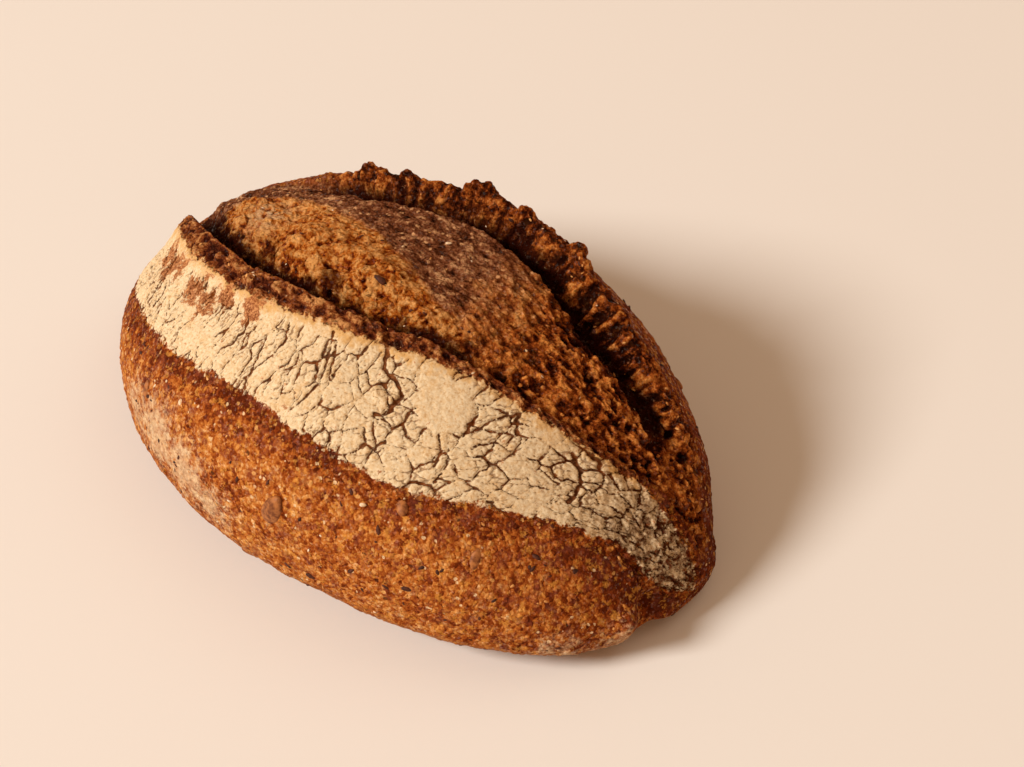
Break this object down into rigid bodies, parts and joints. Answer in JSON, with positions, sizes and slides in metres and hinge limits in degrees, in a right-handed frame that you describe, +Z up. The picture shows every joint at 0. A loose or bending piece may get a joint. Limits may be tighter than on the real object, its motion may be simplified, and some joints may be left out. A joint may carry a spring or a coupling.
{
  "type": "multigrain loaf",
  "caption": "Whole multigrain loaf: a floured oval batard with long slashes, raised torn ears, swollen golden crumb between them and seeds baked into its rough brown crust.",
  "frame": {"origin": "on the ground under the middle of the loaf's box, where its flat underside rests", "axes": "+X along the loaf towards its rounder end, -Y towards its floured front, +Z up"},
  "size_m": [0.274, 0.1774, 0.0992],
  "materials": {
    "crust": "rough baked crust, with pale flour on the band below the front slash"
  },
  "bodies": {
    "root": {"loaf": "crust"}
  },
  "joints": []
}
